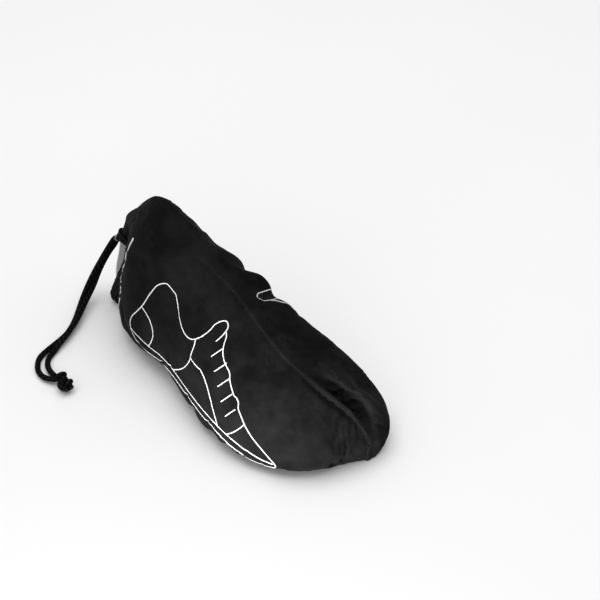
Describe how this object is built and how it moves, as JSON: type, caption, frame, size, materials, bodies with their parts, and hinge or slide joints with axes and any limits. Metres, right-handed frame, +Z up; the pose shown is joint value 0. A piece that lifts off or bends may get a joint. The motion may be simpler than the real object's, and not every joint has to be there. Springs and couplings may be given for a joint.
{
  "type": "drawstring shoe bag",
  "caption": "Soft knit drawstring bag in the form of the shoe it holds, with a sewn mouth casing, knotted braided drawcord and a woven label.",
  "frame": {"origin": "middle of the bag's base, on the surface that it stands on, without the free cord", "axes": "+X from the mouth at the heel to the toe, +Y to the bag's left side, +Z up"},
  "size_m": [0.3647, 0.2039, 0.1682],
  "materials": {
    "knit": "matte brushed knit",
    "thread": "dull polyester thread",
    "eyelet_thread": "pale stitched ring",
    "braided_cord": "braided, dull",
    "sealed_cord_end": "heat sealed braid",
    "label_tape": "woven satin tape",
    "label_thread": "thread"
  },
  "bodies": {
    "bag": {"right_side_panel": "knit", "left_side_panel": "knit", "seam_binding": "thread", "mouth_casing": "knit", "casing_stitching": "thread", "cord_eyelet_near": "eyelet_thread", "cord_eyelet_far": "eyelet_thread", "drawcord_loop": "braided_cord", "label_stitching": "label_thread"},
    "drawcord": {"drawcord_tail_near": "braided_cord", "drawcord_tail_far": "braided_cord", "stopper_knot": "braided_cord", "cord_end_near": "sealed_cord_end", "cord_end_far": "sealed_cord_end"},
    "label": {"woven_label": "label_tape"}
  },
  "joints": [
    {"name": "drawcord_pull", "type": "slide", "parent": "bag", "child": "drawcord", "axis": [-1, 0, 0], "range_m": [0, 0.01]},
    {"name": "label_flap", "type": "hinge", "parent": "bag", "child": "label", "pos_m": [-0.1736, 0.01, 0.064], "axis": [0, 1, 0], "range_deg": [0, 75]}
  ]
}
